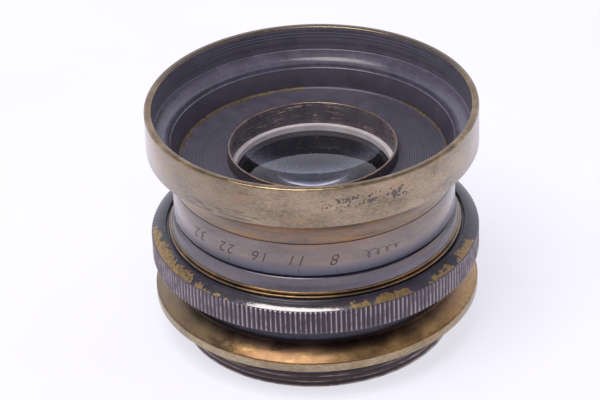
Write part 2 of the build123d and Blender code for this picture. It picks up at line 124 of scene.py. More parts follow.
class Surface:
    """A material being built, with the round object's own coordinates in millimetres."""

    def __init__(self, name: str) -> None:
        """Starts a material of that name and finds height, radius and angle on the piece.

        Args:
            name: Name of the material.
        """
        self.material = bpy.data.materials.new(name)
        self.material.use_nodes = True
        self.tree = self.material.node_tree
        self.shader = self.tree.nodes["Principled BSDF"]
        place = self.add("TexCoord", output="Object")
        self.place = self.add("VectorMath", (place, (1 / MM,) * 3), operation="MULTIPLY")
        x, y, self.z = self.add("SeparateXYZ", (self.place,)).node.outputs
        flat = self.add("VectorMath", (self.place, (1, 1, 0)), operation="MULTIPLY")
        self.radius = self.add("VectorMath", (flat,), "Value", operation="LENGTH")
        # zero at the front, growing to the right, with its seam at the back
        self.angle = self.add("Math", (x, self.product(y, -1.0)), operation="ARCTAN2")

    def add(self, kind: str, inputs: Inputs = (), output: int | str = 0,
            stops: Sequence[tuple[float, str]] = (), **settings: object) -> Socket:
        """Adds a shader node to this material, as add() does, with its type name cut short."""
        return add(self.tree, f"ShaderNode{kind}", inputs, output, stops, **settings)

    def product(self, first: Value, *others: Value) -> Socket:
        """Multiplies any number of values.

        Args:
            first: The first value.
            *others: The values that it is multiplied by.

        Returns:
            The product's socket.
        """
        for other in others:
            first = self.add("Math", (first, other), operation="MULTIPLY")
        return first

    def weigh(self, *pairs: tuple[Value, float]) -> Socket:
        """Adds up values, each times its weight.

        Args:
            *pairs: Values with their weights.

        Returns:
            The sum's socket.
        """
        total: Value = 0.0
        for value, weight in pairs:
            total = self.add("Math", (value, weight, total), operation="MULTIPLY_ADD")
        return total

    def stained(self, colour: Socket, *stains: tuple[Value, Socket | str]) -> Socket:
        """Lays stains over a colour one after another, each with its share and its own colour.

        Args:
            colour: The colour underneath.
            *stains: Shares with their colours, from the bottom up.

        Returns:
            The stained colour's socket.
        """
        for share, tint in stains:
            colour = self.add("Mix", {0: share, 6: colour, 7: tint}, 2, data_type="RGBA")
        return colour

    def noise(self, size_mm: float, detail: float = 4.0, stretch: Sequence[float] = (1, 1, 1),
              shift: float = 0.0) -> Socket:
        """Noise with features of a real size.

        Args:
            size_mm: Size of a feature.
            detail: How many finer octaves.
            stretch: How much longer the features are along X, Y and Z.
            shift: Moves the pattern, so that two noises differ.

        Returns:
            The noise value's socket.
        """
        factor = tuple(1 / (size_mm * s) for s in stretch)
        moved = self.add("Mapping", {"Vector": self.place, "Scale": factor,
                                     "Location": (shift, shift / 2, shift / 3)})
        return self.add("TexNoise", {"Vector": moved, "Scale": 1.0, "Detail": detail, "Roughness": 0.6})

    def cells(self, size_mm: float) -> Socket:
        """Distance to the nearest of scattered points about size_mm apart, in units of that."""
        return self.add("TexVoronoi", {"Vector": self.place, "Scale": 1 / size_mm})

    def spots(self, size_mm: float, share: float) -> Socket:
        """Small round specks, about one to a cell of the given size.

        Args:
            size_mm: Distance between specks.
            share: Radius of a speck as a share of that distance.

        Returns:
            A socket that is one in a speck and zero elsewhere.
        """
        return self.add("MapRange", (self.cells(size_mm), share, share * 0.6), **SMOOTH)

    def within(self, middle: float, half: float, soft: float) -> Socket:
        """One within a span of angles round the axis, fading out beyond it.

        Args:
            middle: Middle of the span in degrees; zero is the front.
            half: Half of its width in degrees.
            soft: Width of the fade in degrees.

        Returns:
            The mask's socket.
        """
        away = self.add("Math", (self.angle, math.radians(middle)), operation="SUBTRACT")
        away = self.add("Math", (away,), operation="ABSOLUTE")
        return self.add("MapRange", (away, math.radians(half + soft), math.radians(half)), **SMOOTH)

    def band(self, heights: Point, soft: float) -> Socket:
        """One between two heights in millimetres, with a short fade at each.

        Args:
            heights: The lower and the higher height.
            soft: Half the width of a fade.

        Returns:
            The mask's socket.
        """
        low, high = heights
        up = self.add("MapRange", (self.z, low - soft, low + soft), **SMOOTH)
        down = self.add("MapRange", (self.z, high + soft, high - soft), **SMOOTH)
        return self.product(up, down)

    def along(self, way: Way) -> Socket:
        """What lathe lines are spaced along on a face that was turned that way."""
        return self.z if way is Way.UP else self.radius

    def turning_lines(self, way: Way, spacing_mm: float) -> Socket:
        """Fine lathe lines that run round the axis.

        Args:
            way: What the lines are spaced along.
            spacing_mm: Distance between the lines.

        Returns:
            A socket from zero to one.
        """
        turns = self.add("Math", (self.along(way), spacing_mm), operation="DIVIDE")
        return self.add("TexNoise", {"W": turns, "Scale": 1.0, "Detail": 2.0, "Roughness": 0.5},
                        noise_dimensions="1D")

    def relief(self, height: Socket, depth_mm: float, strength: float,
               under: Socket | None = None) -> Socket:
        """Relief of a real depth on top of an earlier one.

        Args:
            height: What gives the relief, from zero to one.
            depth_mm: Its depth.
            strength: How much of it shows.
            under: The earlier relief's normal.

        Returns:
            The normal's socket.
        """
        inputs = {"Height": height, "Distance": depth_mm * MM, "Strength": strength}
        if under is not None:
            inputs["Normal"] = under
        return self.add("Bump", inputs)

    def finish(self, **inputs: object) -> Material:
        """Fills the shader's inputs, whose spaces are underscores here, and returns the material.

        Args:
            **inputs: Numbers, colours or sockets by input name.

        Returns:
            The material.
        """
        for key, value in inputs.items():
            socket = self.shader.inputs[key.replace("_", " ")]
            if isinstance(value, Socket):
                self.tree.links.new(value, socket)
            else:
                socket.default_value = value
        return self.material


# --- Finishes ---------------------------------------------------------------


@dataclass(frozen=True)
class Marks:
    """Dark corroded pits with pale edges, and thin streaks along the lathe lines."""

    pit_angles: Point = (18.0, 11.0)  # middle and half width in degrees
    pit_heights: Point = (38.8, 41.2)
    streak_angles: Point = (-33.0, 13.0)
    streak_heights: Point = (35.9, 37.6)
    pit_mm: float = 0.6

    def press(self, s: Surface, colour: Socket, normal: Socket) -> tuple[Socket, Socket]:
        """Puts the marks into a surface.

        Args:
            s: The surface.
            colour: Its colour so far.
            normal: Its normal so far.

        Returns:
            The new colour and the new normal.
        """
        zone = s.product(s.within(*self.pit_angles, 9.0), s.band(self.pit_heights, 0.9))
        size = s.add("MapRange", (s.noise(1.5, 1.0, shift=41.0), 0.34, 0.54, 0.12, 0.64), **SMOOTH)
        gap = s.add("Math", (s.cells(self.pit_mm), s.product(zone, size)), operation="SUBTRACT")
        near = s.add("MapRange", (gap, 0.22, 0.06), **SMOOTH)
        halo = s.product(near, s.add("MapRange", (zone, 0.1, 0.6, 0.0, 0.4), **SMOOTH))
        colour = s.stained(colour, (halo, "#B49F7E"))
        core = s.add("MapRange", (gap, 0.05, -0.07), **SMOOTH)
        pits = s.product(core, s.add("MapRange", (zone, 0.0, 0.2), **SMOOTH))
        zone = s.product(s.within(*self.streak_angles, 6.0), s.band(self.streak_heights, 0.3))
        dash = s.noise(0.55, 2.0, (5.0, 5.0, 0.5), shift=61.0)
        streaks = s.product(s.add("MapRange", (dash, 0.48, 0.6), **SMOOTH), zone, 0.75)
        dark = s.add("Math", (pits, streaks), operation="MAXIMUM")
        colour = s.stained(colour, (s.product(dark, 0.85), "#443B42"))
        return colour, s.relief(s.product(dark, -1.0), 0.04, 0.6, normal)


@dataclass(frozen=True)
class TurnedBrass:
    """Turned brass under old lacquer: dull tan or brown tone over a warm metal, with faint lathe lines."""

    name: str
    tones: tuple[str, str, str]
    warm: str
    warm_share: float = 0.3
    blotch_mm: float = 4.0
    drawn: float = 1.6  # how much longer the blotches are round the axis
    grain_share: float = 0.28
    roughness: Point = (0.30, 0.46)
    lacquer: float = 0.8
    dust: float = 0.0  # a film of fine dust, which shows at a grazing angle
    dent_mm: float = 0.006
    line_mm: float = 0.12
    way: Way = Way.UP
    low_tone: str | None = None
    low_range: Point = (0.0, 1.0)
    stretches: tuple[tuple[float, float, str, float], ...] = ()  # middle, half width, tone, strength
    marks: Marks | None = None

    def build(self) -> Material:
        """Makes the material.

        Returns:
            The material.
        """
        s = Surface(self.name)
        cloud = s.noise(self.blotch_mm, 5.0, (self.drawn, self.drawn, 1.44 / self.drawn))
        grain = s.noise(0.4, 4.0, (1.7, 1.7, 0.7), shift=7.0)
        mix = s.weigh((cloud, 1 - self.grain_share), (grain, self.grain_share))
        colour = self.toned(s, mix)
        normal = s.relief(s.turning_lines(self.way, self.line_mm), 0.004, 0.5)
        normal = s.relief(grain, self.dent_mm, 0.5, normal)
        if self.marks:
            colour, normal = self.marks.press(s, colour, normal)
        rough = s.add("MapRange", (cloud, 0.3, 0.7, *self.roughness), **SMOOTH)
        # old clear lacquer gives the brass a colourless gloss, and dust pales its outline
        return s.finish(Base_Color=colour, Metallic=1.0, Roughness=rough, Normal=normal,
                        Coat_Weight=self.lacquer, Coat_Roughness=0.25, Coat_IOR=1.5,
                        Sheen_Weight=self.dust, Sheen_Roughness=0.35, Sheen_Tint=linear("#E6E4F0"))

    def toned(self, s: Surface, mix: Socket) -> Socket:
        """Colour of the brass: tarnish in blotches and warm patches, then a tone by height and tones by angle
        round the axis, which on the flange and the back of the lip are painted light and shade.

        Args:
            s: The surface.
            mix: The pattern of its blotches and grain.

        Returns:
            The colour's socket.
        """
        colour = s.add("ValToRGB", (mix,), stops=tuple(zip((0.36, 0.5, 0.64), self.tones)))
        patch = s.noise(self.blotch_mm * 1.7, 4.0, (self.drawn, self.drawn, 1.1 / self.drawn), shift=23.0)
        edge = 0.62 - 0.3 * self.warm_share
        warm = s.add("MapRange", (patch, edge, edge + 0.14), **SMOOTH)
        colour = s.stained(colour, (s.product(warm, 0.75), self.warm))
        if self.low_tone:
            low = s.add("MapRange", (s.z, self.low_range[1], self.low_range[0]), **SMOOTH)
            colour = s.stained(colour, (low, self.low_tone))
        for middle, half, tone, strength in self.stretches:
            ragged = s.add("MapRange", (mix, 0.3, 0.62, 0.5, 1.0), **SMOOTH)
            share = s.product(s.within(middle, half, 12.0), ragged, strength)
            colour = s.stained(colour, (share, tone))
        return colour


@dataclass(frozen=True)
class WornLacquer:
    """Black lacquer over brass: a smooth dark coat, chipped through to dull brass along an edge."""

    name: str
    coat: tuple[str, str] = ("#2E2B36", "#434050")
    bare: tuple[str, str] = ("#857258", "#9C8A6C")
    way: Way = Way.OUT
    edge_mm: float | None = None  # where the wear starts, along the way
    reach_mm: float = 1.0  # how far from the edge it goes
    wear: float = 0.5
    raggedness: float = 0.5  # how uneven the edge of the wear is
    worn_spans: tuple[tuple[float, float, float], ...] = ()  # middle and half width in degrees, strength
    line_mm: float = 0.25
    line_depth_mm: float = 0.01
    line_share: float = 0.4  # how much of the tone follows the lathe lines
    roughness: Point = (0.22, 0.4)
    dust: float = 0.3
    scratches: float = 0.0
    polish: float = 0.0  # weight of a thick clear coat on the stretch that hands keep shiny
    polished_span: Point = (-10.0, 24.0)  # middle and half width of that stretch
    ripple_mm: float = 0.0  # depth of the coat's unevenness

    def build(self) -> Material:
        """Makes the material.

        Returns:
            The material.
        """
        s = Surface(self.name)
        lines = s.turning_lines(self.way, self.line_mm)
        haze = s.noise(3.0, 4.0)
        tone = s.weigh((haze, 1 - self.line_share), (lines, self.line_share))
        colour = s.add("ValToRGB", (tone,), stops=tuple(zip((0.35, 0.68), self.coat)))
        colour = s.stained(colour, (s.product(s.spots(1.1, 0.085), self.dust), "#B9B6C2"))
        rough = s.add("MapRange", (haze, 0.3, 0.7, *self.roughness), **SMOOTH)
        normal = s.relief(lines, self.line_depth_mm, 0.7)
        if self.ripple_mm:
            normal = s.relief(s.noise(1.3, 2.0, shift=17.0), self.ripple_mm, 1.0, normal)
        bare = self.bare_mask(s)
        if bare is None:
            return s.finish(Base_Color=colour, Metallic=0.0, Roughness=rough, Normal=normal)
        brass = s.add("ValToRGB", (s.noise(0.6, 4.0, shift=13.0),), stops=tuple(zip((0.4, 0.6), self.bare)))
        normal = s.relief(s.product(bare, -1.0), 0.03, 0.7, normal)
        if self.polish:
            whole = s.add("Math", (1.0, bare), operation="SUBTRACT")
            shiny = s.product(s.within(*self.polished_span, 16.0), self.polish, whole)
            s.finish(Coat_Weight=shiny, Coat_Roughness=0.12, Coat_IOR=1.8, Coat_Normal=normal)
        return s.finish(Base_Color=s.stained(colour, (bare, brass)), Metallic=s.product(bare, 0.7),
                        Roughness=s.weigh((rough, 1.0), (bare, 0.16)), Normal=normal)

    def bare_mask(self, s: Surface) -> Socket | None:
        """Where the lacquer is gone: along the worn edge, and in thin scratches round the axis.

        Args:
            s: The surface.

        Returns:
            The mask's socket, or nothing where the lacquer is whole.
        """
        masks = []
        if self.edge_mm is not None:
            start = self.edge_mm - self.reach_mm
            near = s.add("Math", (s.along(self.way), start), operation="SUBTRACT")
            near = s.product(near, 1 / self.reach_mm)
            patch, ragged = s.noise(2.6, 2.0, shift=31.0), s.noise(0.7, 3.0, shift=5.0)
            spans = [(s.within(middle, half, 4.0), strength) for middle, half, strength in self.worn_spans]
            level = s.weigh((patch, 0.7), (ragged, self.raggedness), (near, 0.4), *spans)
            edge = 1.25 - 0.3 * self.wear
            gone = s.add("MapRange", (level, edge, edge + 0.015), **SMOOTH)
            masks.append(s.product(gone, s.add("MapRange", (near, 0.0, 0.05), **SMOOTH)))
        if self.scratches:
            thin = s.noise(0.22, 1.0, (16.0, 16.0, 0.5), shift=77.0)
            cut = s.add("MapRange", (thin, 0.6, 0.67), **SMOOTH)
            zone = s.add("MapRange", (s.noise(3.0, 2.0, shift=3.0), 0.44, 0.56), **SMOOTH)
            masks.append(s.product(cut, self.scratches, zone))
        if len(masks) == 2:
            return s.add("Math", masks, operation="MAXIMUM")
        return masks[0] if masks else None


@dataclass(frozen=True)
class CrestToned:
    """Knurled or threaded brass: darker in the grooves and lighter on the crests."""

    name: str
    root_mm: float
    crest_mm: float
    tones: tuple[str, str, str, str] = ("#544D57", "#686069", "#7A7179", "#A69C9A")

    def build(self) -> Material:
        """Makes the material.

        Returns:
            The material.
        """
        s = Surface(self.name)
        patch = s.noise(2.2, 3.0)
        rise = s.product(s.add("MapRange", (s.radius, self.root_mm, self.crest_mm), **SMOOTH),
                         s.add("MapRange", (patch, 0.25, 0.6, 0.6, 1.0), **SMOOTH))
        return s.finish(
            Base_Color=s.add("ValToRGB", (rise,), stops=tuple(zip((0.0, 0.45, 0.8, 1.0), self.tones))),
            Metallic=s.add("MapRange", (rise, 0.2, 0.9, 0.55, 1.0), **SMOOTH),
            Roughness=s.add("MapRange", (patch, 0.3, 0.7, 0.34, 0.5), **SMOOTH),
            Normal=s.relief(s.noise(0.3, 3.0, shift=9.0), 0.006, 0.5))


@dataclass(frozen=True)
class OpticalGlass:
    """Polished crown or flint glass: clear, barely tinted, with a little dust on it."""

    name: str
    ior: float
    tint: str = "#D2D3E2"

    def build(self) -> Material:
        """Makes the material.

        Returns:
            The material.
        """
        s = Surface(self.name)
        haze = s.add("MapRange", (s.noise(1.5, 3.0), 0.35, 0.75, 0.0, 0.03), **SMOOTH)
        specks = s.product(s.spots(1.4, 0.07), 0.35)
        colour = s.add("Mix", {0: specks, 6: self.tint, 7: "#C9C9D2"}, 2, data_type="RGBA")
        return s.finish(Base_Color=colour, Roughness=s.weigh((haze, 1.0), (specks, 1.0)), IOR=self.ior,
                        Transmission_Weight=1.0)


@dataclass(frozen=True)
class BlackenedSteel:
    """Heat-blackened spring steel: a thin blue-black skin with faint rubbing."""

    name: str = "blackened_steel"

    def build(self) -> Material:
        """Makes the material.

        Returns:
            The material.
        """
        s = Surface(self.name)
        cloud = s.noise(2.5, 4.0)
        return s.finish(Base_Color=s.add("ValToRGB", (cloud,), stops=((0.35, "#2A2B35"), (0.65, "#464753"))),
                        Roughness=s.add("MapRange", (cloud, 0.3, 0.7, 0.28, 0.42), **SMOOTH),
                        Normal=s.relief(s.noise(0.15, 2.0, (6, 6, 1)), 0.003, 0.4), Metallic=1.0)


@dataclass(frozen=True)
class EngravedFill:
    """Dark wax and dirt in a shallow engraved line."""

    name: str = "engraved_line"

    def build(self) -> Material:
        """Makes the material.

        Returns:
            The material.
        """
        s = Surface(self.name)
        colour = s.add("ValToRGB", (s.noise(0.4, 3.0),), stops=((0.35, "#2A2220"), (0.7, "#5B4A40")))
        return s.finish(Base_Color=colour, Metallic=0.3, Roughness=0.5)


@dataclass(frozen=True)
class LitAcrylic:
    """Matt pale acrylic over a light table: it glows, so that the lens casts hardly any shadow."""

    name: str = "lit_acrylic"
    mask_mm: float = 23.0

    def build(self) -> Material:
        """Makes the material.

        Returns:
            The material.
        """
        s = Surface(self.name)
        colour = s.add("ValToRGB", (s.noise(60.0, 2.0),), stops=((0.3, "#878791"), (0.7, "#8C8C95")))
        # masked under the lens, so that no light comes up through the glass
        glow = s.add("MapRange", (s.radius, self.mask_mm - 3.0, self.mask_mm, 0.1, 0.69), **SMOOTH)
        return s.finish(Base_Color=colour, Roughness=0.9, Emission_Color=linear("#F8F7FF"),
                        Emission_Strength=glow)


# --- Mesh tools -------------------------------------------------------------


@dataclass
class Span:
    """A stretch of a turned outline, with the finish of the face that it makes."""

    points: list[Point]
    finish: int


def arc(start: Point, end: Point, bulge: float, steps: int = 14) -> list[Point]:
    """Points of a quarter-ellipse from start to end, without start.

    Args:
        start: First point.
        end: Last point.
        bulge: Zero where the curve leaves start along the radius, one where it leaves along the height.
        steps: How many points.

    Returns:
        The points after start.
    """
    out = []
    for step in range(1, steps + 1):
        turn = math.pi / 2 * step / steps
        early, late = math.sin(turn), 1 - math.cos(turn)
        a, b = (early, late) if bulge < 0.5 else (late, early)
        out.append((start[0] + (end[0] - start[0]) * a, start[1] + (end[1] - start[1]) * b))
    return out


def softened(points: Sequence[Point], radius: float) -> list[Point]:
    """Cuts each inner corner of an open outline with a small two-step round.

    Args:
        points: The outline.
        radius: Distance from each corner at which the round starts.

    Returns:
        The outline with rounds.
    """
    out = [points[0]]
    for before, here, after in zip(points, points[1:], points[2:]):
        corner = Vector(here)
        to_before, to_after = Vector(before) - corner, Vector(after) - corner
        reach = min(radius, to_before.length * 0.45, to_after.length * 0.45)
        first = corner + to_before.normalized() * reach
        last = corner + to_after.normalized() * reach
        middle = (first + last) * 0.25 + corner * 0.5
        out += [tuple(first), tuple(middle), tuple(last)]
    return [*out, points[-1]]


def new_piece(name: str, vertices: Sequence[Sequence[float]], faces: Sequence[Sequence[int]],
              materials: Sequence[Material] = (), indices: Sequence[int] | None = None) -> Piece:
    """Makes a mesh object and puts it in the scene.

    Args:
        name: Name of the piece.
        vertices: Its points.
        faces: Point numbers of each face.
        materials: Its finishes.
        indices: Number of each face's finish, where it has more than one.

    Returns:
        The piece.
    """
    mesh = bpy.data.meshes.new(name)
    mesh.from_pydata(vertices, [], faces)
    for material in materials:
        mesh.materials.append(material)
    if indices is not None:
        mesh.polygons.foreach_set("material_index", indices)
    mesh.validate()
    mesh.update()
    piece = bpy.data.objects.new(name, mesh)
    bpy.context.collection.objects.link(piece)
    return piece


def lathe(
    name: str,
    spans: Sequence[Span],
    materials: Sequence[Material],
    relief: Callable[[np.ndarray, float, float], np.ndarray] | None = None,
) -> Piece:
    """Turns a closed outline round the optical axis.

    Args:
        name: Name of the piece.
        spans: Stretches of the outline in millimetres, in order, which run clockwise when the
            radius is to the right and the height is up, so that faces point outwards.
        materials: Finishes that the spans number.
        relief: Radius at every angle for one outline point, where it isn't plain round.

    Returns:
        The piece.
    """
    outline: list[Point] = []
    finishes: list[int] = []
    for span in spans:
        for point in span.points:
            outline.append(point)
            finishes.append(span.finish)
    turns = np.arange(SEGMENTS) * (2 * math.pi / SEGMENTS)
    rows = []
    for radius, height in outline:
        reach = np.full(SEGMENTS, radius) if relief is None else relief(turns, radius, height)
        rows.append(np.stack([reach * np.sin(turns), -reach * np.cos(turns), np.full(SEGMENTS, height)], 1))
    vertices = np.concatenate(rows) * MM
    faces, indices = [], []
    for row in range(len(outline)):
        below = (row + 1) % len(outline)
        for step in range(SEGMENTS):
            after = (step + 1) % SEGMENTS
            faces.append((row * SEGMENTS + step, below * SEGMENTS + step,
                          below * SEGMENTS + after, row * SEGMENTS + after))
            indices.append(finishes[row])
    piece = new_piece(name, vertices.tolist(), faces, materials, indices)
    piece.data.shade_smooth()
    piece.data.set_sharp_from_angle(angle=CREASE)
    return piece


def dress(node: str, material: Material) -> None:
    """Gives a CAD node a finish.

    Args:
        node: Name of the CAD node.
        material: Its finish.
    """
    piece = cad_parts[node]
    piece.data.materials.clear()
    piece.data.materials.append(material)
    LOG.info("dressed %s in %s", node, material.name)


def place(piece: Piece, body: str, slot: str, *nodes: str) -> None:
    """Rides a piece on its body, in place of the CAD nodes named.

    Args:
        piece: The piece.
        body: The body that it moves with.
        slot: Not used.
        *nodes: The CAD nodes that it stands for.
    """
    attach(piece, body)
    if nodes:
        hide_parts(*nodes)
    LOG.info("built %s, %d faces", piece.name, len(piece.data.polygons))


def box_mm(node: str) -> tuple[float, float, float]:
    """Outer radius, lowest and highest point of a CAD node, in millimetres."""
    low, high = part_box(node)
    return ((high[0] - low[0]) / 2 / MM, low[2] / MM, high[2] / MM)


# --- Hood, board and front cell ---------------------------------------------


@dataclass
class Hood:
    """Rim, hollow neck and inner shelf, with the board and the cell inside."""

    rim_bore: float = 27.7
    rim_height: float = 7.5
    bore_depth: float = 4.7
    shelf_bore: float = 24.7
    shelf_height: float = 2.4
    pocket: float = 23.7
    pocket_height: float = 2.0
    neck: float = 24.8
    ledge: float = 22.6
    ledge_height: float = 1.4
    lip_round: float = 0.35
    board_bore: float = 14.95
    grooves: int = 17
    groove_half: float = 0.13
    groove_depth: float = 0.05
    fillet: float = 0.75
    cell_radius: float = 14.9
    cell_bore: float = 14.45
    cell_seat_bore: float = 13.4
    cell_seat_height: float = 0.8
    cell_shoulder_top: float = 31.0
    cell_shoulder_height: float = 1.4
    cell_round: float = 0.12

    def build(self) -> None:
        """Makes the hood, the board, the cell and its ring."""
        self.build_hood()
        self.build_board()
        self.build_cell()

    def build_hood(self) -> None:
        """Turns the hood, with its own finish on each face."""
        rim, bottom, top = box_mm("hood")
        rim_bottom = top - self.rim_height
        shelf_top = top - self.bore_depth
        shelf_bottom = shelf_top - self.shelf_height
        r = self.lip_round
        lip = [(self.rim_bore, top - r), *arc((self.rim_bore, top - r), (self.rim_bore + r, top), 1.0, 5)]
        lip += [(rim - r, top), *arc((rim - r, top), (rim, top - r), 0.0, 5)]
        band = [(rim, top - r - 0.02), (rim, rim_bottom + 0.25), (rim - 0.07, rim_bottom + 0.08)]
        cove = [(rim - 0.25, rim_bottom), *arc((rim - 0.25, rim_bottom), (self.neck, bottom + 0.2), 0.0, 18)]
        under = [(self.neck - 0.15, bottom), (self.ledge, bottom), (self.ledge, bottom + self.ledge_height)]
        floor = [
            (self.pocket, bottom + self.ledge_height),
            (self.pocket, bottom + self.ledge_height + self.pocket_height),
            (self.shelf_bore, shelf_bottom),
        ]
        # a fine rounded edge, then a hair groove, at the shelf's inner end
        edge = self.shelf_bore
        hair = ((-0.04, 0.1), (0.0, 0.22), (0.12, 0.3), (0.2, 0.24), (0.26, 0.5))
        shelf = [(edge + out, shelf_bottom + up) for out, up in hair]
        shelf += arc(shelf[-1], (self.rim_bore - 0.12, shelf_top - 0.1), 1.0, 16)
        bore = [(self.rim_bore - 0.1, shelf_top + 0.02), (self.rim_bore, shelf_top + 0.1),
                (self.rim_bore, (shelf_top + top) / 2)]
        finishes = [
            TurnedBrass("aged_rim_brass", ("#6B5D49", "#92806A", "#AE9A80"), "#A47C58", 0.3, 4.0,
                        grain_share=0.42, dust=0.3, stretches=((-46.0, 16.0, "#6F6253", 0.4),),
                        marks=Marks()).build(),
            # the stretches darken the lip's back to grey-brown: painted shade on the far side of the lip
            TurnedBrass("rubbed_lip_brass", ("#64553F", "#827057", "#A08D6E"), "#86694A", 0.3, 2.5,
                        roughness=(0.2, 0.34), lacquer=0.2, dent_mm=0.06, way=Way.OUT,
                        stretches=((148.0, 32.0, "#5C5650", 0.8), (-148.0, 32.0, "#5C5650", 0.8))).build(),
            TurnedBrass("coppery_neck_brass", ("#5C5049", "#7C6858", "#93795F"), "#A5713F", 0.5, 3.2,
                        drawn=3.2, dust=0.12).build(),
            # the bore's coat is lighter than the wall's, and its pale tone follows the lathe lines: painted
            # light where the bore would reflect the dark hood floor, and painted glints along the lines
            WornLacquer("hood_bore_lacquer_and_painted_light", ("#322F3A", "#666371"), way=Way.UP, edge_mm=top, reach_mm=0.7,
                        wear=0.55, line_mm=0.26, line_depth_mm=0.05, line_share=0.8,
                        roughness=(0.3, 0.42)).build(),
            WornLacquer("hood_shelf_lacquer", ("#403D4A", "#595566"), way=Way.UP, line_mm=0.5,
                        roughness=(0.2, 0.32)).build(),
            WornLacquer("hood_wall_lacquer", ("#34313C", "#423E4B"), way=Way.UP, line_mm=0.3,
                        roughness=(0.4, 0.55)).build(),
        ]
        spans = [Span(lip, 1), Span(band, 0), Span(cove, 2), Span(under, 5), Span(floor, 5),
                 Span(shelf, 4), Span(bore, 3)]
        place(lathe("hood_shell", spans, finishes), "lens_body", "polished_brass", "hood")

    def build_board(self) -> None:
        """Turns the board with its ring grooves and the fillet at its edge."""
        outer, bottom, top = box_mm("front_board")
        bore = self.board_bore
        half, foot = self.groove_half, outer - self.fillet
        first, last = bore + 0.5, foot - 0.15
        face = [(bore, bottom), (bore, top)]
        for index in range(self.grooves):
            middle = first + (last - first) * (index + 0.5) / self.grooves
            face += [(middle - half, top), (middle, top - self.groove_depth), (middle + half, top)]
        face += [(foot, top), *arc((foot, top), (outer, top + self.fillet * 0.65), 0.0, 8)]
        face.append((outer, bottom))
        finish = WornLacquer("front_board_lacquer", ("#383543", "#4B4857"), line_mm=0.35, edge_mm=outer,
                             reach_mm=1.5, wear=0.9, raggedness=0.1,
                             worn_spans=((-125.0, 50.0, 0.34), (105.0, 30.0, 0.26)),
                             bare=("#4C4238", "#6A5C4C"), line_depth_mm=0.015, roughness=(0.32, 0.46)).build()
        piece = lathe("front_board_disc", [Span(face, 0)], [finish])
        place(piece, "lens_body", "black_lacquer", "front_board")

    def build_cell(self) -> None:
        """Turns the thin cell, rubbed to bare metal on its top edge."""
        flange, seat_bottom, top = box_mm("front_cell")
        outer, inner, seat_bore = self.cell_radius, self.cell_bore, self.cell_seat_bore
        shoulder_top = self.cell_shoulder_top
        shoulder_bottom = shoulder_top - self.cell_shoulder_height
        seat_top = seat_bottom + self.cell_seat_height
        r = self.cell_round
        edge = [(inner, top - r), (inner + r * 0.4, top - r * 0.3), (inner + r, top)]
        edge += [(outer - r, top), (outer - r * 0.4, top - r * 0.3), (outer, top - r)]
        outside = [(outer, top - 0.4), (outer, shoulder_top), (flange, shoulder_top),
                   (flange, shoulder_bottom), (outer, shoulder_bottom), (outer, seat_bottom),
                   (seat_bore, seat_bottom), (seat_bore, seat_top), (inner, seat_top)]
        finishes = [
            TurnedBrass("rubbed_cell_edge", ("#5A4E48", "#7C695A", "#977D66"), "#8D6549", 0.5, 1.5,
                        way=Way.OUT).build(),
            WornLacquer("cell_lacquer", ("#39343B", "#544E56"), bare=("#8E7058", "#CDBFB0"), way=Way.UP,
                        line_mm=0.3, line_depth_mm=0.02, scratches=0.9, line_share=0.7).build(),
        ]
        piece = lathe("front_cell_tube", [Span(edge, 0), Span(outside, 1)], finishes)
        place(piece, "lens_body", "black_lacquer", "front_cell")
        # the retaining ring's pale lavender coat is a painted reflection, standing in for the bright sky
        # mirrored in the front of the glass
        dress("front_retaining_ring", WornLacquer(
            "retaining_ring_painted_reflection", ("#A29A9E", "#D8D2D5"), edge_mm=14.4, reach_mm=0.9, wear=0.2,
            dust=0.6, line_mm=0.15, line_share=0.7, roughness=(0.28, 0.4)).build())


# --- Barrel, collar and rear ------------------------------------------------


